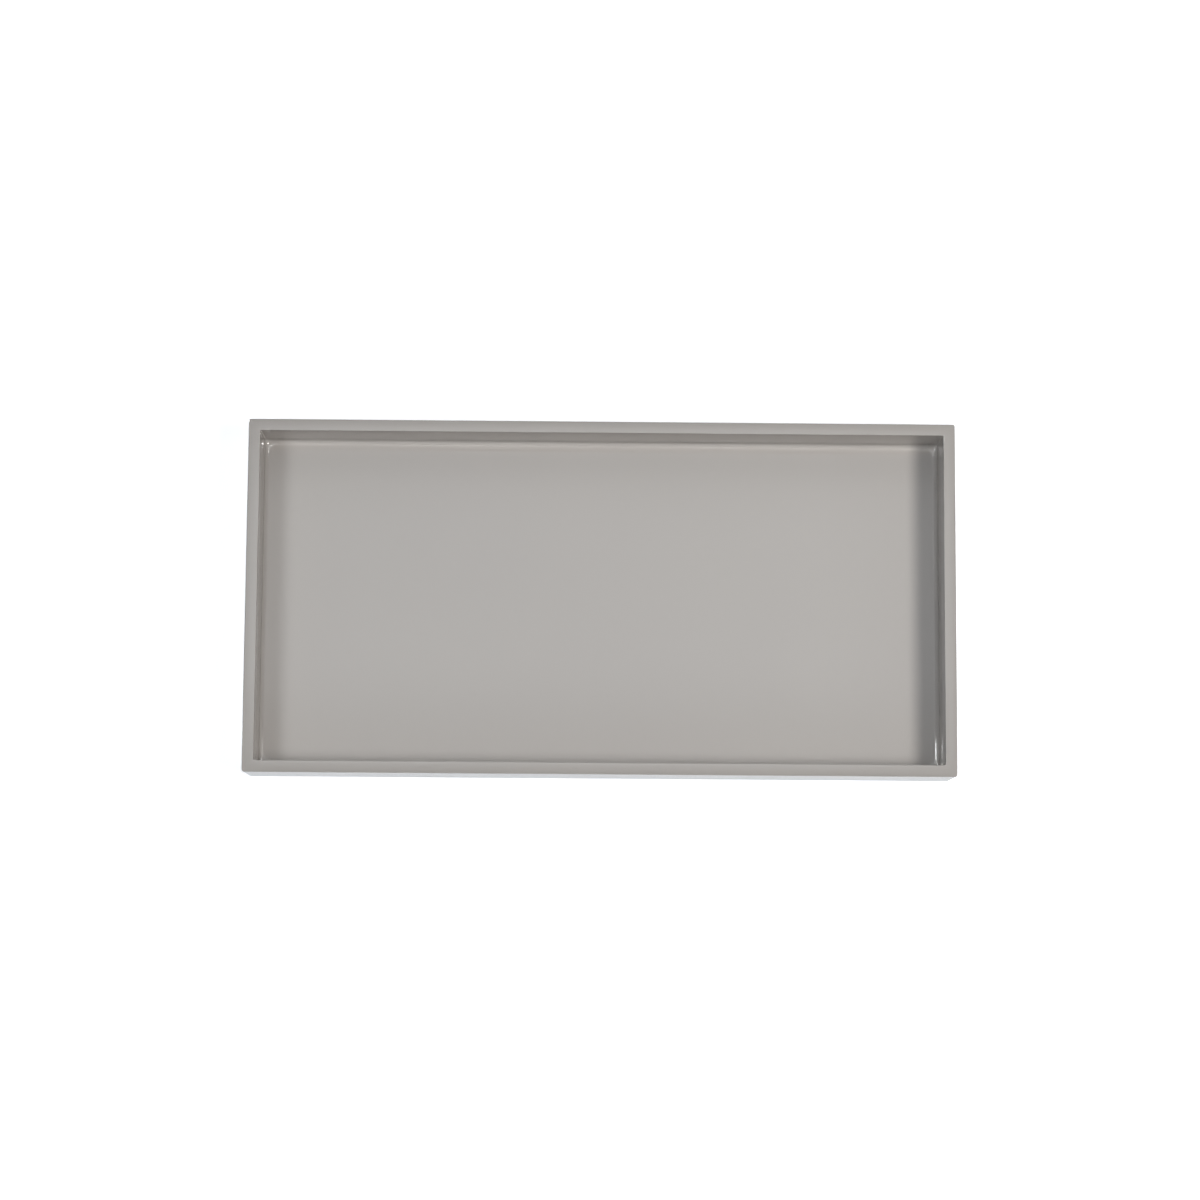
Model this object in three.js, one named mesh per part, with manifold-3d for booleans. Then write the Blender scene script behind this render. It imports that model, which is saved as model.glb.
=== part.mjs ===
// A low rectangular serving tray in high-gloss lacquer.
// Four mitred MDF walls are keyed at the corners with loose tongues and stand round a base board,
// which sits in a rebate under them and is pinned from below. One unbroken coat of lacquer wraps
// the rim, both faces of the walls and the floor of the well, and turns under the bottom edge.
// A felt underlay covers the bare underside and laps over the edge of the lacquer.
// Millimetres, +X along the tray, +Y to the back, +Z up, origin at the middle of the felt's underside.
import * as THREE from "three";
import { mergeVertices } from "three/addons/utils/BufferGeometryUtils.js";
import Module from "manifold-3d";

const wasm = await Module();
wasm.setup();

// The finished tray
const trayLength = 400;
const trayWidth = 200;
const wellDepth = 32;
const outerCornerRadius = 1.3;
const wellCornerRadius = 0.8;
const rimEdgeRadius = 0.35;
const rimCrown = 0.05;
const bottomEdgeRadius = 0.8;
const floorCoveRadius = 2.5;
const floorCornerRadius = 4.5;

// The boards, and the lip of the walls that hides the base board's edge
const wallThickness = 6;
const baseThickness = 6;
const lipThickness = 2;

// The lacquer and the felt that laps over its edge, and the gaps that glue and primer fill
const lacquerThickness = 0.25;
const feltThickness = 1;
const feltInset = 4;
const feltLap = 6;
const feltCornerRadius = 3;
const glueLine = 0.1;
const primerLine = 0.05;

// The loose tongues, set across the wall at a share of its thickness from the outside
const tongueThickness = 1.5;
const tongueWidth = 5;
const tongueAboveBase = 4;
const tongueBelowTop = 4;
const tongueAcrossWall = 2 / 3;

// The headless pins, set across the rebate at a share of its depth from the lip
const pinDiameter = 1;
const pinLength = 16;
const pinSunk = 0.5;
const pinFromCorner = 40;
const pinAcrossRebate = 0.45;
const pinsAlongLength = 4;
const pinsAlongWidth = 2;

// How finely round edges are stepped
const cornerSteps = 4;
const edgeSteps = 5;
const crownSteps = 4;
const pinSides = 12;
const tightestCorner = 0.05;

// Levels and insets that follow, the insets counted inwards from the finished outer face
const boardUnderside = feltThickness + lacquerThickness;
const baseTop = boardUnderside + baseThickness;
const floorLevel = baseTop + lacquerThickness;
const rimLevel = floorLevel + wellDepth;
const rimShoulder = rimLevel - rimCrown;
const wallTop = rimShoulder - lacquerThickness;
const rebateTop = baseTop + glueLine;
const finishedWall = wallThickness + 2 * lacquerThickness;
const filmThickness = lacquerThickness - primerLine;
const boardInset = lacquerThickness;
const wellInset = boardInset + wallThickness;
const rebateInset = boardInset + lipThickness;
const pinInset = THREE.MathUtils.lerp(rebateInset, wellInset, pinAcrossRebate);
const halfLength = trayLength / 2;
const halfWidth = trayWidth / 2;

const mdf = new THREE.MeshStandardMaterial({ color: 0xa98a63, roughness: 0.85, metalness: 0 });
const plywood = new THREE.MeshStandardMaterial({ color: 0xc9a878, roughness: 0.8, metalness: 0 });
const steel = new THREE.MeshStandardMaterial({ color: 0x9a9b9c, roughness: 0.35, metalness: 1 });
const lacquer = new THREE.MeshStandardMaterial({ color: 0xb0ada9, roughness: 0.08, metalness: 0 });
const felt = new THREE.MeshStandardMaterial({ color: 0x4a4744, roughness: 0.95, metalness: 0 });

const tray = new THREE.Group();

function addPiece(name, geometry, material, turn = 0) {
  const piece = new THREE.Mesh(geometry, material);
  piece.name = name;
  piece.rotation.z = turn;
  tray.add(piece);
}

// A closed geometry as a solid that can be joined and cut
function solidFrom(geometry) {
  const bare = geometry.clone();
  bare.deleteAttribute("normal");
  bare.deleteAttribute("uv");
  const merged = mergeVertices(bare, 1e-4);
  return new wasm.Manifold(
    new wasm.Mesh({
      numProp: 3,
      vertProperties: new Float32Array(merged.attributes.position.array),
      triVerts: new Uint32Array(merged.index.array),
    }),
  );
}

function geometryFrom(solid) {
  const mesh = solid.getMesh();
  const geometry = new THREE.BufferGeometry();
  geometry.setAttribute("position", new THREE.BufferAttribute(mesh.vertProperties, 3));
  geometry.setIndex(new THREE.BufferAttribute(mesh.triVerts, 1));
  geometry.computeVertexNormals();
  return geometry;
}

// A rectangle about the origin with round corners, anticlockwise from the right-hand side
function roundedRectangle(halfX, halfY, radius) {
  const outline = new THREE.Path();
  outline.absarc(halfX - radius, halfY - radius, radius, 0, Math.PI / 2);
  outline.absarc(radius - halfX, halfY - radius, radius, Math.PI / 2, Math.PI);
  outline.absarc(radius - halfX, radius - halfY, radius, Math.PI, 1.5 * Math.PI);
  outline.absarc(halfX - radius, radius - halfY, radius, 1.5 * Math.PI, 2 * Math.PI);
  return outline.getPoints(cornerSteps);
}

// Carries a section round a rectangle with the tray's corners. Each station of the section is one
// ring, given by its inset, level and corner radius, and the first and last rings are closed flat.
function wrapSection(halfX, halfY, section) {
  const rings = section.map(({ inset, level, corner }) =>
    roundedRectangle(halfX - inset, halfY - inset, corner).map(
      (point) => new THREE.Vector3(point.x, point.y, level),
    ),
  );
  const count = rings[0].length;
  const faces = [];
  for (let ring = 0; ring + 1 < rings.length; ring++) {
    for (let i = 0; i < count; i++) {
      const here = ring * count + i;
      const next = ring * count + ((i + 1) % count);
      faces.push(here, next, next + count, here, next + count, here + count);
    }
  }
  const last = (rings.length - 1) * count;
  for (const [a, b, c] of THREE.ShapeUtils.triangulateShape(rings[0], [])) {
    faces.push(c, b, a);
  }
  for (const [a, b, c] of THREE.ShapeUtils.triangulateShape(rings.at(-1), [])) {
    faces.push(last + a, last + b, last + c);
  }
  const geometry = new THREE.BufferGeometry().setFromPoints(rings.flat());
  geometry.setIndex(faces);
  geometry.computeVertexNormals();
  return geometry;
}

// The stations of a quarter round. Its rings are parallel, so that the corner radius shrinks as the
// inset grows, from the corner radius that the ring at no inset would have.
function quarterRound(centreInset, centreLevel, radius, startAngle, cornerAtFace) {
  const stations = [];
  for (let step = 0; step <= edgeSteps; step++) {
    const angle = startAngle + (step / edgeSteps) * (Math.PI / 2);
    const inset = centreInset + radius * Math.cos(angle);
    const level = centreLevel + radius * Math.sin(angle);
    stations.push({ inset, level, corner: Math.max(cornerAtFace - inset, tightestCorner) });
  }
  return stations;
}

// The two edges of the outside, from the bottom up, at a depth below the finished surface
function outerEdges(depth) {
  const bottomRound = quarterRound(
    bottomEdgeRadius,
    feltThickness + bottomEdgeRadius,
    bottomEdgeRadius - depth,
    Math.PI,
    outerCornerRadius,
  );
  const rimRound = quarterRound(
    rimEdgeRadius,
    rimShoulder - rimEdgeRadius,
    rimEdgeRadius - depth,
    Math.PI / 2,
    outerCornerRadius,
  );
  return [...bottomRound.reverse(), ...rimRound.reverse()];
}

// The upper edge of the well, from the rim down, at a depth below the finished surface
function wellEdge(depth, wellCorner) {
  const rimRound = quarterRound(
    finishedWall - rimEdgeRadius,
    rimShoulder - rimEdgeRadius,
    rimEdgeRadius - depth,
    0,
    finishedWall - depth + wellCorner,
  );
  return rimRound.reverse();
}

// The rim is a little crowned, as lacquer and hand sanding leave it: a parabola between its edges.
function crownOfRim() {
  const stations = [];
  for (let step = 1; step < crownSteps; step++) {
    const across = step / crownSteps;
    const outerEdge = { inset: rimEdgeRadius, corner: outerCornerRadius - rimEdgeRadius };
    const innerEdge = { inset: finishedWall - rimEdgeRadius, corner: wellCornerRadius + rimEdgeRadius };
    stations.push({
      inset: THREE.MathUtils.lerp(outerEdge.inset, innerEdge.inset, across),
      level: rimLevel - rimCrown * (2 * across - 1) ** 2,
      corner: THREE.MathUtils.lerp(outerEdge.corner, innerEdge.corner, across),
    });
  }
  return stations;
}

// The cove round the floor. Lacquer gathers where two walls meet the floor, so its corners widen on
// the way down instead of tightening.
function floorCove() {
  const stations = quarterRound(
    finishedWall + floorCoveRadius,
    floorLevel + floorCoveRadius,
    floorCoveRadius,
    Math.PI,
    0,
  );
  return stations.map(({ inset, level }) => {
    const down = (inset - finishedWall) / floorCoveRadius;
    return { inset, level, corner: THREE.MathUtils.lerp(wellCornerRadius, floorCornerRadius, down) };
  });
}

// The lacquer is one film. Its face runs from under the bottom edge up the outside, over the rim,
// down into the well and through the cove to the floor. Its back follows the boards at a primer's
// distance, square into the foot of the well, so that the film fills the cove.
function lacquerCoat() {
  const edge = { inset: feltInset + feltLap, corner: tightestCorner };
  const face = [
    { ...edge, level: feltThickness },
    ...outerEdges(0),
    ...crownOfRim(),
    ...wellEdge(0, wellCornerRadius),
    ...floorCove(),
  ];
  const foot = {
    inset: finishedWall - filmThickness,
    level: floorLevel - filmThickness,
    corner: tightestCorner,
  };
  const back = [
    { ...edge, level: feltThickness + filmThickness },
    ...outerEdges(filmThickness),
    ...wellEdge(filmThickness, tightestCorner),
    foot,
  ];
  return wrapSection(halfLength, halfWidth, [...back.reverse(), ...face]);
}

function roundedSheet(halfX, halfY, radius, thickness) {
  const outline = new THREE.Shape(roundedRectangle(halfX, halfY, radius));
  return new THREE.ExtrudeGeometry(outline, { depth: thickness, bevelEnabled: false });
}

// A tongue, or its slot, lies square across the mitre of the corner where two outer faces meet.
function acrossMitre(cornerX, cornerY, thickness, width, low, high) {
  const inwardX = -Math.sign(cornerX);
  const inwardY = -Math.sign(cornerY);
  const fromFaces = wallThickness * tongueAcrossWall;
  const tongue = new THREE.BoxGeometry(thickness, width, high - low);
  tongue.rotateZ(Math.atan2(inwardY, inwardX));
  return tongue.translate(
    cornerX + inwardX * fromFaces,
    cornerY + inwardY * fromFaces,
    (low + high) / 2,
  );
}

const tongueFoot = baseTop + tongueAboveBase;
const tongueTop = wallTop - tongueBelowTop;

// A pin, or its hole, stands upright.
function uprightPin(diameter, x, y, low, high) {
  const shaft = new THREE.CylinderGeometry(diameter / 2, diameter / 2, high - low, pinSides);
  return shaft.rotateX(Math.PI / 2).translate(x, y, (low + high) / 2);
}

// Where the pins stand along a wall, counted from its middle
function pinPlaces(halfRun, count) {
  const reach = halfRun - pinFromCorner;
  return Array.from({ length: count }, (_, i) => reach * ((2 * i) / (count - 1) - 1));
}

const longPins = pinPlaces(halfLength, pinsAlongLength);
const shortPins = pinPlaces(halfWidth, pinsAlongWidth);
const pinFoot = boardUnderside + pinSunk;
const pinTip = pinFoot + pinLength;
const pinHole = pinDiameter + 2 * primerLine;

// A wall is drawn at the front of a tray that reaches halfRun to each side and halfSpan to the
// front. A moulded section along its run, a plan with mitred ends and the tray's eased outside are
// laid over each other, and what they share is the board.
function wall(halfRun, halfSpan, pins) {
  const outerFace = boardInset - halfSpan;
  const innerFace = wellInset - halfSpan;
  const lipFace = rebateInset - halfSpan;
  const runEnd = halfRun - boardInset;

  const ease = rimEdgeRadius - lacquerThickness;
  const section = new THREE.Shape();
  section.moveTo(lipFace, boardUnderside);
  section.lineTo(lipFace, rebateTop);
  section.lineTo(innerFace, rebateTop);
  section.absarc(innerFace - ease, wallTop - ease, ease, 0, Math.PI / 2);
  section.lineTo(outerFace, wallTop);
  section.lineTo(outerFace, boardUnderside);
  const moulding = new THREE.ExtrudeGeometry(section, {
    depth: 2 * runEnd,
    bevelEnabled: false,
    curveSegments: edgeSteps,
  });
  const alongX = new THREE.Matrix4().makeBasis(
    new THREE.Vector3(0, 1, 0),
    new THREE.Vector3(0, 0, 1),
    new THREE.Vector3(1, 0, 0),
  );
  moulding.applyMatrix4(alongX).translate(-runEnd, 0, 0);

  const outerEnd = runEnd - glueLine / Math.SQRT2;
  const innerEnd = outerEnd - wallThickness;
  const plan = new THREE.Shape([
    new THREE.Vector2(-outerEnd, outerFace),
    new THREE.Vector2(outerEnd, outerFace),
    new THREE.Vector2(innerEnd, innerFace),
    new THREE.Vector2(-innerEnd, innerFace),
  ]);
  const mitred = new THREE.ExtrudeGeometry(plan, { depth: rimLevel, bevelEnabled: false });
  const outside = wrapSection(halfRun, halfSpan, outerEdges(lacquerThickness));
  let board = solidFrom(moulding).intersect(solidFrom(mitred)).intersect(solidFrom(outside));

  for (const side of [-1, 1]) {
    const slot = acrossMitre(
      side * runEnd,
      outerFace,
      tongueThickness + 2 * primerLine,
      tongueWidth + 2 * glueLine,
      tongueFoot - glueLine,
      tongueTop + glueLine,
    );
    board = board.subtract(solidFrom(slot));
  }
  for (const x of pins) {
    const hole = uprightPin(pinHole, x, pinInset - halfSpan, 0, pinTip + primerLine);
    board = board.subtract(solidFrom(hole));
  }
  return geometryFrom(board);
}

addPiece("front_wall", wall(halfLength, halfWidth, longPins), mdf);
addPiece("back_wall", wall(halfLength, halfWidth, longPins), mdf, Math.PI);
addPiece("right_wall", wall(halfWidth, halfLength, shortPins), mdf, Math.PI / 2);
addPiece("left_wall", wall(halfWidth, halfLength, shortPins), mdf, -Math.PI / 2);

// The pins in order round the tray: front, right, back and left
const pinSpots = [
  ...longPins.map((x) => [x, pinInset - halfWidth]),
  ...shortPins.map((y) => [halfLength - pinInset, y]),
  ...longPins.map((x) => [-x, halfWidth - pinInset]),
  ...shortPins.map((y) => [pinInset - halfLength, -y]),
];

function baseBoard() {
  const inset = rebateInset + glueLine;
  const blank = new THREE.BoxGeometry(trayLength - 2 * inset, trayWidth - 2 * inset, baseThickness);
  let board = solidFrom(blank.translate(0, 0, boardUnderside + baseThickness / 2));
  for (const [x, y] of pinSpots) {
    board = board.subtract(solidFrom(uprightPin(pinHole, x, y, 0, rebateTop)));
  }
  return geometryFrom(board);
}

addPiece("base_board", baseBoard(), mdf);

const corners = { front_left: [-1, -1], front_right: [1, -1], back_right: [1, 1], back_left: [-1, 1] };
for (const [place, [sideX, sideY]] of Object.entries(corners)) {
  const tongue = acrossMitre(
    sideX * (halfLength - boardInset),
    sideY * (halfWidth - boardInset),
    tongueThickness,
    tongueWidth,
    tongueFoot,
    tongueTop,
  );
  addPiece(`corner_tongue_${place}`, tongue, plywood);
}

pinSpots.forEach(([x, y], i) => {
  const number = String(i + 1).padStart(2, "0");
  addPiece(`base_pin_${number}`, uprightPin(pinDiameter, x, y, pinFoot, pinTip), steel);
});

addPiece("lacquer_coat", lacquerCoat(), lacquer);

addPiece(
  "felt_underlay",
  roundedSheet(halfLength - feltInset, halfWidth - feltInset, feltCornerRadius, feltThickness),
  felt,
);

export default tray;
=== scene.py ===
# Serving tray in polished greige lacquer, lying on a white table and seen from almost straight above
import bpy
import math
import numpy as np
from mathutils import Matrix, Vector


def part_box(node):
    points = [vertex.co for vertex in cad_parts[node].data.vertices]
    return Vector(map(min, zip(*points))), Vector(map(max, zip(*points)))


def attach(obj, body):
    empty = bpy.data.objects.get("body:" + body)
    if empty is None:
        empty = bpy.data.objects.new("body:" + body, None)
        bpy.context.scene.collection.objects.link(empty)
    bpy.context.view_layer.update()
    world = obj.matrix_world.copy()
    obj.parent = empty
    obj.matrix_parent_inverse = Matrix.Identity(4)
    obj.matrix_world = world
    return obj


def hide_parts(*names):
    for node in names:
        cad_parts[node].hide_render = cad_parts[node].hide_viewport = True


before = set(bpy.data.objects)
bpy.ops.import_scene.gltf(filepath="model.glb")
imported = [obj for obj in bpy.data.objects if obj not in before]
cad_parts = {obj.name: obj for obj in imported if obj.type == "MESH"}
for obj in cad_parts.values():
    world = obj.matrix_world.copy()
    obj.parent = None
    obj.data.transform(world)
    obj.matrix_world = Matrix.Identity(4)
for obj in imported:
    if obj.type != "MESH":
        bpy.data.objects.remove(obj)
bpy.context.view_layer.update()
millimetre = 0.001
print("stage: the packed tray is loaded,", len(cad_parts), "pieces")


def hexColour(code):
    # sRGB hex to the linear colour that the shaders use
    srgb = np.array([int(code[i:i + 2], 16) for i in (1, 3, 5)]) / 255
    linear = np.where(srgb <= 0.04045, srgb / 12.92, ((srgb + 0.055) / 1.055) ** 2.4)
    return (*linear.tolist(), 1.0)


def addNode(tree, kind, settings=None, inputs=None):
    # one node with its settings, and for each input either a value or the socket that feeds it
    node = tree.nodes.new(kind)
    for name, value in (settings or {}).items():
        setattr(node, name, value)
    for name, value in (inputs or {}).items():
        if isinstance(value, bpy.types.NodeSocket):
            tree.links.new(value, node.inputs[name])
        else:
            node.inputs[name].default_value = value
    return node


def newMaterial(name):
    material = bpy.data.materials.new(name)
    material.use_nodes = True
    material.node_tree.nodes.clear()
    return material, material.node_tree


# a Mix node's sockets for colours go by number, because several of its sockets share a name
mixShare, mixFirst, mixSecond, mixResult = 0, 6, 7, 2


def perMetre(size):
    # a texture's scale from the real size of one of its features, in millimetres
    return 1 / (size * millimetre)


# Camera
camera = {
    "place": (-0.0153, -0.2110, 1.7041),  # metres: above the tray, a little in front of its middle
    "tilt": 7.155,  # degrees from straight down, towards the back; the next two are degrees as well
    "lean": -0.556,
    "turn": 0.390,
    "lens": 89.5,  # a short telephoto on a full frame
    "sensor": 36.0,
    "clip": (0.05, 50),  # metres
}


def makeCamera():
    data = bpy.data.cameras.new("camera")
    data.lens = camera["lens"]
    data.sensor_width = camera["sensor"]
    data.sensor_fit = "HORIZONTAL"
    data.clip_start, data.clip_end = camera["clip"]
    holder = bpy.data.objects.new("camera", data)
    bpy.context.scene.collection.objects.link(holder)
    holder.location = camera["place"]
    holder.rotation_euler = [math.radians(camera[key]) for key in ("tilt", "lean", "turn")]
    bpy.context.scene.camera = holder


makeCamera()
print("stage: camera")


# Shapes
def quarterArc(inset, level, radius, start, steps):
    # a quarter circle as two rows: centre plus radius times the cosine and sine of evenly spaced angles
    angle = start + np.linspace(0, math.pi / 2, steps + 1)
    return np.array([inset + radius * np.cos(angle), level + radius * np.sin(angle)])


def easedShares(steps):
    # where the points between two ends lie, as shares of the way that are closer together at both ends
    return (1 - np.cos(np.linspace(0, math.pi, steps + 1)[1:-1])) / 2


def straightRun(first, last, steps):
    share = easedShares(steps)
    return np.array([a + (b - a) * share for a, b in zip(first, last)])


def joinWalk(parts, steps):
    # the parts in order, with a straight run of points between each two
    walk = [parts[0]]
    for part in parts[1:]:
        walk += [straightRun(walk[-1][:, -1], part[:, 0], steps), part]
    return np.concatenate(walk, axis=1)


def carryRound(half, section, corner, cornerSteps, sideSteps):
    # Each point of the section, an inset and a level, becomes a rounded rectangle: in each corner the
    # corner's centre plus its radius times (cos, sin) over a quarter turn, and straight sides between.
    quarter = np.arange(4)[None, :, None]
    signX = np.where((quarter == 0) | (quarter == 3), 1, -1)
    signY = np.where(quarter < 2, 1, -1)
    angle = quarter * math.pi / 2 + np.linspace(0, math.pi / 2, cornerSteps + 1)[None, None, :]
    inset, radius = section[0][:, None, None], corner[:, None, None]
    arcs = np.stack([signX * (half.x - inset - radius) + radius * np.cos(angle),
                     signY * (half.y - inset - radius) + radius * np.sin(angle)], axis=-1)
    share = easedShares(sideSteps)[None, None, :, None]
    first, last = arcs[:, :, -1:, :], np.roll(arcs, -1, axis=1)[:, :, :1, :]
    rings = np.concatenate([arcs, first + (last - first) * share], axis=2)
    rings = rings.reshape(section.shape[1], -1, 2)
    levels = np.broadcast_to(section[1][:, None, None], (*rings.shape[:2], 1))
    return np.concatenate([rings, levels], axis=2)


def quadsBetween(rings):
    # rings is an array of vertex numbers, one row for each closed loop, counter-clockwise from above
    beside = np.roll(rings, -1, axis=1)
    return np.stack([rings[:-1], beside[:-1], beside[1:], rings[1:]], axis=-1).reshape(-1, 4)


def makePiece(name, points, faces, material):
    mesh = bpy.data.meshes.new(name)
    mesh.from_pydata(points.reshape(-1, 3).tolist(), [], faces)
    mesh.polygons.foreach_set("use_smooth", np.ones(len(faces), dtype=bool))
    mesh.materials.append(material)
    piece = bpy.data.objects.new(name, mesh)
    bpy.context.scene.collection.objects.link(piece)
    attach(piece, "root")
    return piece


# Lacquer
lacquerShape = {
    "outerCorner": 1.3,  # millimetres, all of these
    "wellCorner": 0.8,
    "rimEdge": 0.35,
    "rimCrown": 0.025,
    "bottomEdge": 0.8,
    "floorCove": 2.5,
    "floorCorner": 4.5,  # wider than the well's corners above, because lacquer gathers there
    "feltLap": 6.0,
    "primer": 0.05,  # between the film's back and the boards
    "holdLine": 0.25,  # a last strip of flat floor, which keeps the cove's shading off the rest
    "tightest": 0.05,  # the least corner radius on the film's back
}

lacquerSteps = {"edge": 12, "flat": 6, "corner": 12, "side": 24}

lacquerFinish = {
    "colour": "#b4b0ac",
    "colourDrift": "#b0aca9",  # where the pigment lies a little thinner
    "driftSize": 130,  # millimetres
    "ior": 1.52,
    "roughness": 0.02,
    "haze": 0.02,  # more roughness where the polish is less even
    "hazeSize": 45,
    "hazeLevels": (0.35, 0.75),  # the noise at which the haze begins, and at which it is full
    "peelSize": 2.2,  # what the buffing left of the orange peel
    "peelHeight": 0.0004,
    "waveSize": 38,  # long waves left by hand sanding
    "waveHeight": 0.005,
    "nibSpacing": 26,  # dust caught in the last coat
    "nibReach": 0.5,
    "nibHeight": 0.012,
}


def polyesterLacquer():
    # pigmented polyester lacquer, sprayed, cut flat and buffed: a deep mirror gloss over an even greige
    make = lacquerFinish
    material, tree = newMaterial("polyester_lacquer_buffed")
    place = addNode(tree, "ShaderNodeTexCoord").outputs["Object"]
    drift = addNode(tree, "ShaderNodeTexNoise", inputs={
        "Vector": place, "Scale": perMetre(make["driftSize"]), "Detail": 2.0})
    colour = addNode(tree, "ShaderNodeMix", {"data_type": "RGBA"}, {
        mixShare: drift.outputs["Fac"], mixFirst: hexColour(make["colour"]),
        mixSecond: hexColour(make["colourDrift"])})
    haze = addNode(tree, "ShaderNodeTexNoise", inputs={
        "Vector": place, "Scale": perMetre(make["hazeSize"]), "Detail": 3.0})
    hazeBegins, hazeFull = make["hazeLevels"]
    roughness = addNode(tree, "ShaderNodeMapRange", inputs={
        "Value": haze.outputs["Fac"], "From Min": hazeBegins, "From Max": hazeFull,
        "To Min": make["roughness"], "To Max": make["roughness"] + make["haze"]})
    wave = addNode(tree, "ShaderNodeTexNoise", inputs={
        "Vector": place, "Scale": perMetre(make["waveSize"]), "Detail": 1.0})
    waveBump = addNode(tree, "ShaderNodeBump", inputs={
        "Height": wave.outputs["Fac"], "Strength": 1.0,
        "Distance": make["waveHeight"] * millimetre})
    peel = addNode(tree, "ShaderNodeTexNoise", inputs={
        "Vector": place, "Scale": perMetre(make["peelSize"]), "Detail": 1.0})
    peelBump = addNode(tree, "ShaderNodeBump", inputs={
        "Height": peel.outputs["Fac"], "Strength": 1.0, "Normal": waveBump.outputs[0],
        "Distance": make["peelHeight"] * millimetre})
    nib = addNode(tree, "ShaderNodeTexVoronoi", inputs={
        "Vector": place, "Scale": perMetre(make["nibSpacing"]), "Randomness": 1.0})
    nibShape = addNode(tree, "ShaderNodeMapRange", {"interpolation_type": "SMOOTHSTEP"}, {
        "Value": nib.outputs["Distance"], "From Min": 0.0,
        "From Max": make["nibReach"] / make["nibSpacing"], "To Min": 1.0, "To Max": 0.0})
    nibBump = addNode(tree, "ShaderNodeBump", inputs={
        "Height": nibShape.outputs[0], "Strength": 1.0, "Normal": peelBump.outputs[0],
        "Distance": make["nibHeight"] * millimetre})
    shader = addNode(tree, "ShaderNodeBsdfPrincipled", inputs={
        "Base Color": colour.outputs[mixResult], "Roughness": roughness.outputs[0],
        "IOR": make["ior"], "Normal": nibBump.outputs[0]})
    addNode(tree, "ShaderNodeOutputMaterial", inputs={"Surface": shader.outputs[0]})
    return material


def lacquerSection():
    # The film's section as one closed walk of insets and levels: up its back from the foot of the well,
    # over the rim and down to the edge turned under, then up its face, over the rim and to the floor.
    shape = {key: value * millimetre for key, value in lacquerShape.items()}
    edge, bottom, cove, least = (shape[k] for k in ("rimEdge", "bottomEdge", "floorCove", "tightest"))
    coatLow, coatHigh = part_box("lacquer_coat")
    wallLow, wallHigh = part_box("front_wall")
    film = wallLow.y - coatLow.y
    depth = film - shape["primer"]
    wall = wallHigh.y - wallLow.y + 2 * film
    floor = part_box("base_board")[1].z + film
    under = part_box("felt_underlay")[0].x - coatLow.x + shape["feltLap"]
    shoulder = coatHigh.z - shape["rimCrown"]
    steps, flats = lacquerSteps["edge"], lacquerSteps["flat"]

    def rounds(below):
        # the three convex rounds, from the bottom edge up and over the rim, this far under the face
        return [quarterArc(bottom, coatLow.z + bottom, bottom - below, math.pi, steps)[:, ::-1],
                quarterArc(edge, shoulder - edge, edge - below, math.pi / 2, steps)[:, ::-1],
                quarterArc(wall - edge, shoulder - edge, edge - below, 0, steps)[:, ::-1]]

    across = np.linspace(0, 1, flats + 1)[1:-1]
    crown = np.array([edge + (wall - 2 * edge) * across,
                      coatHigh.z - shape["rimCrown"] * (2 * across - 1) ** 2])
    bottomRound, outerRound, wellRound = rounds(0)
    face = joinWalk([
        np.array([[under], [coatLow.z]]), bottomRound,
        np.concatenate([outerRound, crown, wellRound], axis=1),
        quarterArc(wall + cove, floor + cove, cove, math.pi, steps),
        np.array([[wall + cove + shape["holdLine"]], [floor]])], flats)
    back = joinWalk([
        np.array([[under], [coatLow.z + depth]]), *rounds(depth),
        np.array([[wall - depth], [floor - depth]])], flats)
    # a corner's radius falls with the inset outside and in the well, and widens across rim and cove
    faceCorner = np.interp(face[0], [0, edge, wall - edge, wall, wall + cove], [
        shape["outerCorner"], shape["outerCorner"] - edge, shape["wellCorner"] + edge,
        shape["wellCorner"], shape["floorCorner"]])
    backCorner = np.interp(back[0], [0, edge, wall - edge, wall - depth], [
        shape["outerCorner"], shape["outerCorner"] - edge, edge - depth + least, least])
    return np.concatenate([back[:, ::-1], face], axis=1), np.concatenate([backCorner[::-1], faceCorner])


def makeLacquer():
    section, corner = lacquerSection()
    rings = carryRound(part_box("lacquer_coat")[1], section, corner,
                       lacquerSteps["corner"], lacquerSteps["side"])
    numbers = np.arange(rings.shape[0] * rings.shape[1]).reshape(rings.shape[:2])
    faces = quadsBetween(numbers).tolist() + [numbers[0, ::-1].tolist(), numbers[-1].tolist()]
    skin = makePiece("lacquer_skin", rings, faces, polyesterLacquer())
    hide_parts("lacquer_coat")


makeLacquer()
print("stage: lacquer")

# Felt
feltShape = {
    "corner": 3.0,  # millimetres, all of these
    "cell": 1.6,
    "edgeRound": 0.35,
    "lumpHeight": 0.07,
    "lumpSizes": (37.0, 14.0, 6.0),
    "fray": 0.1,
    "fraySize": 2.7,
}

feltSteps = {"corner": 5, "edge": 6}

lumpTurns = {"first": 0.7, "next": 1.9}  # radians

feltFinish = {
    "wool": "#4a4744",
    "darkWool": "#34312f",
    "paleFibre": "#7d7872",
    "mottleSize": 5.0,  # millimetres
    "mottleLevels": (0.35, 0.65),  # the noise between which dark wool gives way to paler
    "fibreSize": 0.9,
    "fibreLevels": (0.6, 0.72),  # only the highest noise is a pale fibre
    "fibreShow": 0.7,
    "fibreHeight": 0.12,
    "roughness": 0.95,
    "sheen": 0.35,
    "sheenRoughness": 0.6,
}


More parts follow.
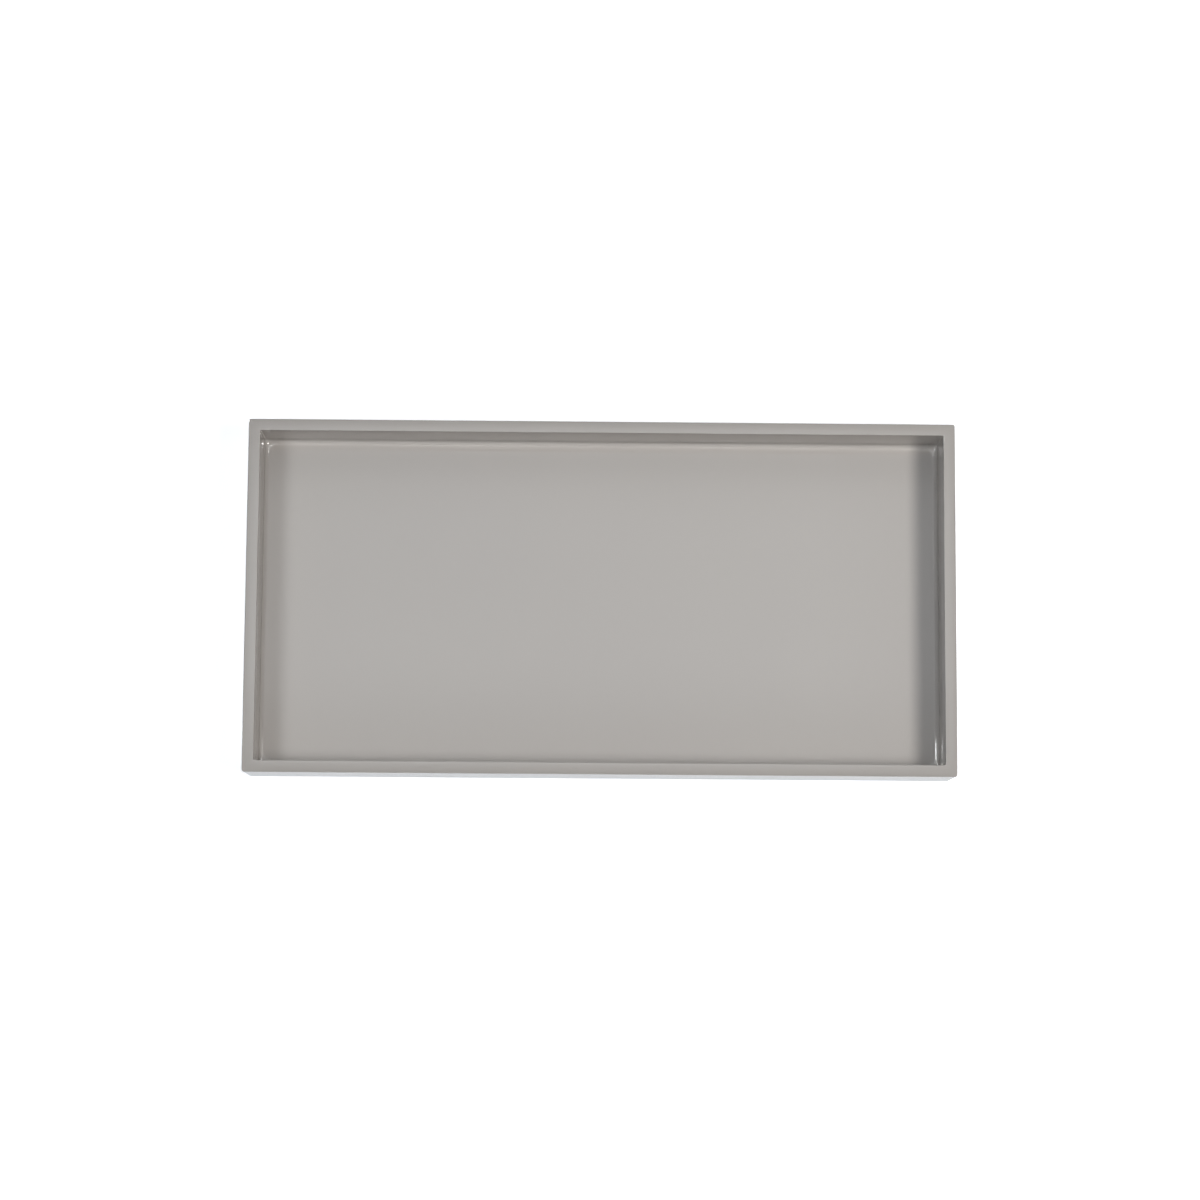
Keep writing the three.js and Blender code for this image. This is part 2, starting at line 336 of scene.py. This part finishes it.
def pressedFelt():
    # wool-blend felt, needled and pressed: matt and mottled, with pale stray fibres and a soft nap
    make = feltFinish
    material, tree = newMaterial("wool_blend_felt_pressed")
    place = addNode(tree, "ShaderNodeTexCoord").outputs["Object"]
    mottle = addNode(tree, "ShaderNodeTexNoise", inputs={
        "Vector": place, "Scale": perMetre(make["mottleSize"]), "Detail": 4.0, "Distortion": 0.6})
    darkest, palest = make["mottleLevels"]
    mottleShare = addNode(tree, "ShaderNodeMapRange", inputs={
        "Value": mottle.outputs["Fac"], "From Min": darkest, "From Max": palest})
    wool = addNode(tree, "ShaderNodeMix", {"data_type": "RGBA"}, {
        mixShare: mottleShare.outputs[0], mixFirst: hexColour(make["darkWool"]),
        mixSecond: hexColour(make["wool"])})
    fibre = addNode(tree, "ShaderNodeTexNoise", inputs={
        "Vector": place, "Scale": perMetre(make["fibreSize"]), "Detail": 6.0, "Distortion": 2.5})
    fibreBegins, fibreFull = make["fibreLevels"]
    fibreShare = addNode(tree, "ShaderNodeMapRange", inputs={
        "Value": fibre.outputs["Fac"], "From Min": fibreBegins, "From Max": fibreFull,
        "To Max": make["fibreShow"]})
    colour = addNode(tree, "ShaderNodeMix", {"data_type": "RGBA"}, {
        mixShare: fibreShare.outputs[0], mixFirst: wool.outputs[mixResult],
        mixSecond: hexColour(make["paleFibre"])})
    nap = addNode(tree, "ShaderNodeBump", inputs={
        "Height": fibre.outputs["Fac"], "Strength": 1.0,
        "Distance": make["fibreHeight"] * millimetre})
    shader = addNode(tree, "ShaderNodeBsdfPrincipled", inputs={
        "Base Color": colour.outputs[mixResult], "Roughness": make["roughness"],
        "Sheen Weight": make["sheen"], "Sheen Roughness": make["sheenRoughness"],
        "Normal": nap.outputs[0]})
    addNode(tree, "ShaderNodeOutputMaterial", inputs={"Surface": shader.outputs[0]})
    return material


def gridLines(half, corner, cell, cornerSteps):
    # even cells between the corners, and a fixed number across each corner
    inner = half - corner
    middle = np.linspace(-inner, inner, round(2 * inner / cell) + 1)
    return np.concatenate([np.linspace(-half, -inner, cornerSteps + 1)[:-1], middle,
                           np.linspace(inner, half, cornerSteps + 1)[1:]])


def roundedPlan(halfX, halfY, corner, cell, cornerSteps):
    # A square grid whose corners are drawn in to quarter circles: with a and b the shares of the way
    # across a corner's square, x becomes a times the root of (1 - b squared / 2), and y likewise.
    x, y = np.meshgrid(gridLines(halfX, corner, cell, cornerSteps),
                       gridLines(halfY, corner, cell, cornerSteps))
    a = np.clip((np.abs(x) - halfX + corner) / corner, 0, 1)
    b = np.clip((np.abs(y) - halfY + corner) / corner, 0, 1)
    planX = np.sign(x) * (np.minimum(np.abs(x), halfX - corner) + corner * a * np.sqrt(1 - b * b / 2))
    planY = np.sign(y) * (np.minimum(np.abs(y), halfY - corner) + corner * b * np.sqrt(1 - a * a / 2))
    return planX, planY


def lumps(x, y, sizes):
    # from 0 to 1: for each size, a sine along one direction times a sine across it, turned each time
    total = 0
    for count, size in enumerate(sizes):
        turn = lumpTurns["first"] + lumpTurns["next"] * count
        along = x * math.cos(turn) + y * math.sin(turn)
        across = y * math.cos(turn) - x * math.sin(turn)
        total = total + np.sin(2 * math.pi * along / size + count) * np.sin(2 * math.pi * across / size)
    return 0.5 + total / (2 * len(sizes))


def makeFelt():
    # Two grids, the face below and the face above, joined by loops that follow half an ellipse from
    # one to the other. Both faces dip inwards by the lumps, and the cut edge wanders by the fray.
    shape = {key: np.multiply(value, millimetre) for key, value in feltShape.items()}
    low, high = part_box("felt_underlay")
    edge = shape["edgeRound"]
    corner = shape["corner"] - edge
    halfX, halfY = high.x - edge, high.y - edge
    x, y = roundedPlan(halfX, halfY, corner, shape["cell"], feltSteps["corner"])
    below = low.z + shape["lumpHeight"] * lumps(x, y, shape["lumpSizes"])
    above = high.z - shape["lumpHeight"] * lumps(y, x, shape["lumpSizes"])
    faces = np.arange(x.size).reshape(x.shape)
    rim = np.concatenate([faces[0, :-1], faces[:-1, -1], faces[-1, :0:-1], faces[:0:-1, 0]])
    rimX, rimY = x.flat[rim], y.flat[rim]
    outX = (rimX - np.clip(rimX, corner - halfX, halfX - corner)) / corner
    outY = (rimY - np.clip(rimY, corner - halfY, halfY - corner)) / corner
    angle = np.linspace(-math.pi / 2, math.pi / 2, feltSteps["edge"] + 1)[1:-1, None]
    fray = shape["fray"] * lumps(rimX, rimY, (shape["fraySize"], shape["fraySize"] / 2))
    bulge = (edge - fray) * np.cos(angle)
    share = (1 + np.sin(angle)) / 2
    level = below.flat[rim] * (1 - share) + above.flat[rim] * share
    loops = np.stack([rimX + outX * bulge, rimY + outY * bulge, level], axis=-1)
    points = np.concatenate([
        np.stack([x, y, below], axis=-1).reshape(-1, 3), loops.reshape(-1, 3),
        np.stack([x, y, above], axis=-1).reshape(-1, 3)])
    loopNumbers = x.size + np.arange(loops.shape[0] * rim.size).reshape(-1, rim.size)
    top = faces + x.size + loopNumbers.size
    rows = np.concatenate([rim[None, :], loopNumbers, (rim + top[0, 0])[None, :]])
    upward = np.stack([top[:-1, :-1], top[:-1, 1:], top[1:, 1:], top[1:, :-1]], axis=-1).reshape(-1, 4)
    downward = (upward - top[0, 0])[:, ::-1]
    quads = np.concatenate([downward, quadsBetween(rows), upward])
    felt = makePiece("felt_sheet", points, quads.tolist(), pressedFelt())
    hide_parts("felt_underlay")


makeFelt()
print("stage: felt")

# Boards, tongues and pins under the lacquer
boardFinish = {
    "pale": "#b99a70",
    "dark": "#96774f",
    "clumpSize": 3.5,  # millimetres
    "fibreSize": 0.55,
    "fibreHeight": 0.03,
    "paleLevels": (0.75, 1.25),  # the sum of both noises at which the pale colour begins and is full
    "roughness": 0.78,
}

plywoodFinish = {
    "faceVeneer": "#d0b183",
    "coreVeneer": "#b08d5e",
    "coreThickness": 0.5,  # millimetres
    "grainWidth": 0.35,
    "grainLength": 9.0,
    "grainHeight": 0.02,
    "grainLevels": (0.3, 0.7),  # the noise of the darkest lines, and that at which the wood is plain
    "grainShade": 0.35,
    "roughness": 0.68,
}

wireFinish = {
    "steel": "#a9aaab",
    "drawLine": 0.06,  # millimetres
    "drawLength": 5.0,
    "drawHeight": 0.004,
    "drawLevels": (0.3, 0.7),  # the noise at which a line begins and is full
    "roughness": (0.24, 0.39),  # beside a line, and on it
}


def sandedFibreboard():
    # medium-density fibreboard, sanded and sealed: an even tan of short fibres with darker clumps
    make = boardFinish
    material, tree = newMaterial("fibreboard_sanded")
    place = addNode(tree, "ShaderNodeTexCoord").outputs["Object"]
    clump = addNode(tree, "ShaderNodeTexNoise", inputs={
        "Vector": place, "Scale": perMetre(make["clumpSize"]), "Detail": 5.0, "Roughness": 0.65})
    fibre = addNode(tree, "ShaderNodeTexNoise", inputs={
        "Vector": place, "Scale": perMetre(make["fibreSize"]), "Detail": 3.0, "Distortion": 1.5})
    both = addNode(tree, "ShaderNodeMath", {"operation": "ADD"}, {
        0: clump.outputs["Fac"], 1: fibre.outputs["Fac"]})
    paleBegins, paleFull = make["paleLevels"]
    share = addNode(tree, "ShaderNodeMapRange", inputs={
        "Value": both.outputs[0], "From Min": paleBegins, "From Max": paleFull})
    colour = addNode(tree, "ShaderNodeMix", {"data_type": "RGBA"}, {
        mixShare: share.outputs[0], mixFirst: hexColour(make["dark"]),
        mixSecond: hexColour(make["pale"])})
    nap = addNode(tree, "ShaderNodeBump", inputs={
        "Height": fibre.outputs["Fac"], "Strength": 1.0,
        "Distance": make["fibreHeight"] * millimetre})
    shader = addNode(tree, "ShaderNodeBsdfPrincipled", inputs={
        "Base Color": colour.outputs[mixResult], "Roughness": make["roughness"],
        "Normal": nap.outputs[0]})
    addNode(tree, "ShaderNodeOutputMaterial", inputs={"Surface": shader.outputs[0]})
    return material


def sawnPlywood(name, centre, turn):
    # thin birch plywood, sawn: two pale face veneers with upright grain on a darker core
    make = plywoodFinish
    material, tree = newMaterial(name)
    place = addNode(tree, "ShaderNodeTexCoord").outputs["Object"]
    turned = addNode(tree, "ShaderNodeVectorRotate", {"rotation_type": "Z_AXIS"}, {
        "Vector": place, "Center": centre, "Angle": turn})
    offset = addNode(tree, "ShaderNodeVectorMath", {"operation": "SUBTRACT"}, {
        0: turned.outputs[0], 1: centre})
    through = addNode(tree, "ShaderNodeSeparateXYZ", inputs={0: offset.outputs[0]})
    depth = addNode(tree, "ShaderNodeMath", {"operation": "ABSOLUTE"}, {0: through.outputs["X"]})
    core = addNode(tree, "ShaderNodeMath", {"operation": "LESS_THAN"}, {
        0: depth.outputs[0], 1: make["coreThickness"] / 2 * millimetre})
    stretch = addNode(tree, "ShaderNodeMapping", inputs={
        "Vector": offset.outputs[0],
        "Scale": (1, 1, make["grainWidth"] / make["grainLength"])})
    grain = addNode(tree, "ShaderNodeTexNoise", inputs={
        "Vector": stretch.outputs[0], "Scale": perMetre(make["grainWidth"]), "Detail": 3.0})
    veneer = addNode(tree, "ShaderNodeMix", {"data_type": "RGBA"}, {
        mixShare: core.outputs[0], mixFirst: hexColour(make["faceVeneer"]),
        mixSecond: hexColour(make["coreVeneer"])})
    darkest, plain = make["grainLevels"]
    shade = addNode(tree, "ShaderNodeMapRange", inputs={
        "Value": grain.outputs["Fac"], "From Min": darkest, "From Max": plain,
        "To Min": make["grainShade"], "To Max": 0.0})
    colour = addNode(tree, "ShaderNodeMix", {"data_type": "RGBA"}, {
        mixShare: shade.outputs[0], mixFirst: veneer.outputs[mixResult],
        mixSecond: hexColour(make["coreVeneer"])})
    ridges = addNode(tree, "ShaderNodeBump", inputs={
        "Height": grain.outputs["Fac"], "Strength": 1.0,
        "Distance": make["grainHeight"] * millimetre})
    shader = addNode(tree, "ShaderNodeBsdfPrincipled", inputs={
        "Base Color": colour.outputs[mixResult], "Roughness": make["roughness"],
        "Normal": ridges.outputs[0]})
    addNode(tree, "ShaderNodeOutputMaterial", inputs={"Surface": shader.outputs[0]})
    return material


def drawnSteel():
    # bright steel wire, drawn through a die: fine lines along the wire break its mirror up
    make = wireFinish
    material, tree = newMaterial("steel_wire_drawn")
    place = addNode(tree, "ShaderNodeTexCoord").outputs["Object"]
    stretch = addNode(tree, "ShaderNodeMapping", inputs={
        "Vector": place, "Scale": (1, 1, make["drawLine"] / make["drawLength"])})
    lines = addNode(tree, "ShaderNodeTexNoise", inputs={
        "Vector": stretch.outputs[0], "Scale": perMetre(make["drawLine"]), "Detail": 2.0})
    lineBegins, lineFull = make["drawLevels"]
    smooth, rough = make["roughness"]
    roughness = addNode(tree, "ShaderNodeMapRange", inputs={
        "Value": lines.outputs["Fac"], "From Min": lineBegins, "From Max": lineFull,
        "To Min": smooth, "To Max": rough})
    ridges = addNode(tree, "ShaderNodeBump", inputs={
        "Height": lines.outputs["Fac"], "Strength": 1.0,
        "Distance": make["drawHeight"] * millimetre})
    shader = addNode(tree, "ShaderNodeBsdfPrincipled", inputs={
        "Base Color": hexColour(make["steel"]), "Metallic": 1.0,
        "Roughness": roughness.outputs[0], "Normal": ridges.outputs[0]})
    addNode(tree, "ShaderNodeOutputMaterial", inputs={"Surface": shader.outputs[0]})
    return material


def dressNode(name, material):
    for slot in bpy.data.objects[name].material_slots:
        slot.material = material


def dressHiddenPieces():
    board, wire = sandedFibreboard(), drawnSteel()
    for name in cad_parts:
        if name.endswith(("_wall", "_board")):
            dressNode(name, board)
        elif name.startswith("base_pin"):
            dressNode(name, wire)
        elif name.startswith("corner_tongue"):
            low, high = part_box(name)
            centre = (low + high) / 2
            # a tongue's veneers are stacked along the line from its corner to the middle of the tray
            turn = -math.pi / 4 if centre.x * centre.y > 0 else math.pi / 4
            dressNode(name, sawnPlywood(name.replace("corner_tongue", "birch_plywood"), centre, turn))


dressHiddenPieces()
print("stage: boards, tongues and pins")

# Table, lights and background
table = {
    "colour": "#e0e4ea",
    "reach": 8.0,  # metres to each side
    "liftSeen": 0.70,  # what the eye sees on top of the lit paper, so that it turns white
    "liftMirrored": 0.28,  # the same for what the lacquer mirrors
    "liftFar": 1.0,  # past the lamps' reach
    "lampsReach": (0.45, 1.4),
}

studio = {
    "colour": "#ffffff",
    "walls": 1.0,  # white all round
    "ceiling": 0.12,  # dark above, where only the lamps show in the lacquer
    "wallTop": (0.45, 0.8),  # heights, as sines, between which the white walls give way
    "fill": 0.01,
}

# Places and sizes are in metres, turns and spreads in degrees, and every lamp points straight down.
# Each softbox has a hot middle, where its flash head shines through the cloth. A lamp whose way is
# "gloss" shows only in mirrors, because the softboxes already stand for its light. The one whose way
# is "light" is never seen itself: it stands in for the light that the glossy back wall throws down on
# the floor in front of it.
lamps = [
    {"name": "softbox_right", "place": (0.85, -0.25, 1.6), "size": (0.46, 0.55), "watts": 14.2,
     "colour": "#fffcf8"},
    {"name": "softbox_right_middle", "place": (0.85, -0.22, 1.59), "size": (0.28, 0.28), "watts": 6.0,
     "colour": "#fffcf8"},
    {"name": "softbox_right_edge", "place": (0.85, 0.058, 1.59), "size": (0.44, 0.018), "watts": 0.2,
     "colour": "#fffcf8", "turn": 2.4, "way": "gloss"},
    {"name": "softbox_left", "place": (-0.83, -0.25, 1.6), "size": (0.58, 0.55), "watts": 6.4,
     "colour": "#f8fcff"},
    {"name": "softbox_left_middle", "place": (-0.83, -0.22, 1.59), "size": (0.28, 0.28), "watts": 4.3,
     "colour": "#f8fcff"},
    {"name": "softbox_left_edge", "place": (-0.83, 0.052, 1.59), "size": (0.44, 0.034), "watts": 2.2,
     "colour": "#f8fcff", "turn": -2.4, "way": "gloss"},
    {"name": "softbox_back", "place": (0, 1.15, 1.6), "size": (1.4, 0.7), "watts": 3.3,
     "colour": "#ffffff"},
    {"name": "ceiling_patch", "place": (0, 0.21, 1.6), "size": (1.2, 0.58), "watts": 5.8,
     "colour": "#fafcff", "fadeFrom": (0.4, 0.2), "way": "gloss"},
    {"name": "panel_right", "place": (0.85, 0.508, 1.6), "size": (0.5, 0.17), "watts": 18.0,
     "colour": "#ffffff", "turn": 5.4, "way": "gloss"},
    {"name": "panel_left", "place": (-0.85, 0.508, 1.6), "size": (0.5, 0.17), "watts": 18.0,
     "colour": "#ffffff", "turn": -5.4, "way": "gloss"},
    {"name": "back_wall_mirror", "place": (0, 0.0909, 0.037), "size": (0.386, 0.003), "watts": 0.0013,
     "colour": "#fffdfb", "spread": 16, "way": "light"},
]


def seenRays(tree):
    # two sockets: the first is 1 for camera rays, the second for mirrored and see-through rays
    path = addNode(tree, "ShaderNodeLightPath")
    mirrored = addNode(tree, "ShaderNodeMath", {"operation": "MAXIMUM"}, {
        0: path.outputs["Is Glossy Ray"], 1: path.outputs["Is Transmission Ray"]})
    return path.outputs["Is Camera Ray"], mirrored.outputs[0]


def paperTable():
    # matt white background paper: no gloss, just under full white where it is lit
    material, tree = newMaterial("background_paper")
    lit = addNode(tree, "ShaderNodeBsdfDiffuse", inputs={"Color": hexColour(table["colour"])})
    place = addNode(tree, "ShaderNodeTexCoord").outputs["Object"]
    distance = addNode(tree, "ShaderNodeVectorMath", {"operation": "LENGTH"}, {0: place})
    near, far = table["lampsReach"]
    seen, mirrored = seenRays(tree)
    parts = []
    for rays, lift in ((seen, table["liftSeen"]), (mirrored, table["liftMirrored"])):
        level = addNode(tree, "ShaderNodeMapRange", {"interpolation_type": "SMOOTHSTEP"}, {
            "Value": distance.outputs["Value"], "From Min": near, "From Max": far,
            "To Min": lift, "To Max": table["liftFar"]})
        parts.append(addNode(tree, "ShaderNodeMath", {"operation": "MULTIPLY"}, {
            0: rays, 1: level.outputs[0]}).outputs[0])
    strength = addNode(tree, "ShaderNodeMath", {"operation": "ADD"}, {0: parts[0], 1: parts[1]})
    glow = addNode(tree, "ShaderNodeEmission", inputs={"Strength": strength.outputs[0]})
    both = addNode(tree, "ShaderNodeAddShader", inputs={0: lit.outputs[0], 1: glow.outputs[0]})
    addNode(tree, "ShaderNodeOutputMaterial", inputs={"Surface": both.outputs[0]})
    return material


def makeTable():
    reach = table["reach"]
    mesh = bpy.data.meshes.new("table")
    mesh.from_pydata([(-reach, -reach, 0), (reach, -reach, 0), (reach, reach, 0), (-reach, reach, 0)],
                     [], [(0, 1, 2, 3)])
    mesh.materials.append(paperTable())
    floor = bpy.data.objects.new("table", mesh)
    bpy.context.scene.collection.objects.link(floor)


def makeStudio():
    room = bpy.data.worlds.new("studio")
    bpy.context.scene.world = room
    room.use_nodes = True
    tree = room.node_tree
    tree.nodes.clear()
    direction = addNode(tree, "ShaderNodeTexCoord").outputs["Generated"]
    height = addNode(tree, "ShaderNodeSeparateXYZ", inputs={0: direction}).outputs["Z"]
    seen, mirrored = seenRays(tree)
    either = addNode(tree, "ShaderNodeMath", {"operation": "MAXIMUM"}, {0: seen, 1: mirrored})
    wallsEnd, ceilingBegins = studio["wallTop"]
    backdrop = addNode(tree, "ShaderNodeMapRange", {"interpolation_type": "SMOOTHSTEP"}, {
        "Value": height, "From Min": wallsEnd, "From Max": ceilingBegins,
        "To Min": studio["walls"], "To Max": studio["ceiling"]})
    strength = addNode(tree, "ShaderNodeMapRange", inputs={
        "Value": either.outputs[0], "To Min": studio["fill"], "To Max": backdrop.outputs[0]})
    glow = addNode(tree, "ShaderNodeBackground", inputs={
        "Color": hexColour(studio["colour"]), "Strength": strength.outputs[0]})
    addNode(tree, "ShaderNodeOutputWorld", inputs={"Surface": glow.outputs[0]})


def fadeLamp(data, fadeFrom):
    # full in the middle, and down to nothing at the edges of the lamp's width and of its depth
    data.use_nodes = True
    tree = data.node_tree
    tree.nodes.clear()
    across = addNode(tree, "ShaderNodeSeparateXYZ", inputs={
        0: addNode(tree, "ShaderNodeNewGeometry").outputs["Parametric"]})
    levels = []
    for axis, start in zip("XY", fadeFrom):
        centred = addNode(tree, "ShaderNodeMath", {"operation": "MULTIPLY_ADD"}, {
            0: across.outputs[axis], 1: 2.0, 2: -1.0})
        away = addNode(tree, "ShaderNodeMath", {"operation": "ABSOLUTE"}, {0: centred.outputs[0]})
        levels.append(addNode(tree, "ShaderNodeMapRange", {"interpolation_type": "SMOOTHSTEP"}, {
            "Value": away.outputs[0], "From Min": start, "From Max": 1.0,
            "To Min": 1.0, "To Max": 0.0}).outputs[0])
    level = addNode(tree, "ShaderNodeMath", {"operation": "MULTIPLY"}, {0: levels[0], 1: levels[1]})
    glow = addNode(tree, "ShaderNodeEmission", inputs={"Strength": level.outputs[0]})
    addNode(tree, "ShaderNodeOutputLight", inputs={"Surface": glow.outputs[0]})


def makeLamps():
    for lamp in lamps:
        data = bpy.data.lights.new(lamp["name"], "AREA")
        data.shape = "RECTANGLE"
        data.size, data.size_y = lamp["size"]
        data.energy = lamp["watts"]
        data.color = hexColour(lamp["colour"])[:3]
        data.spread = math.radians(lamp.get("spread", 180))
        if "fadeFrom" in lamp:
            fadeLamp(data, lamp["fadeFrom"])
        holder = bpy.data.objects.new(lamp["name"], data)
        bpy.context.scene.collection.objects.link(holder)
        holder.location = lamp["place"]
        holder.rotation_euler.z = math.radians(lamp.get("turn", 0))
        way = lamp.get("way", "both")
        holder.visible_diffuse = way != "gloss"
        holder.visible_glossy = holder.visible_camera = way != "light"


makeTable()
makeStudio()
makeLamps()
bpy.context.scene.view_settings.view_transform = "Standard"
print("stage: table, lights and background")
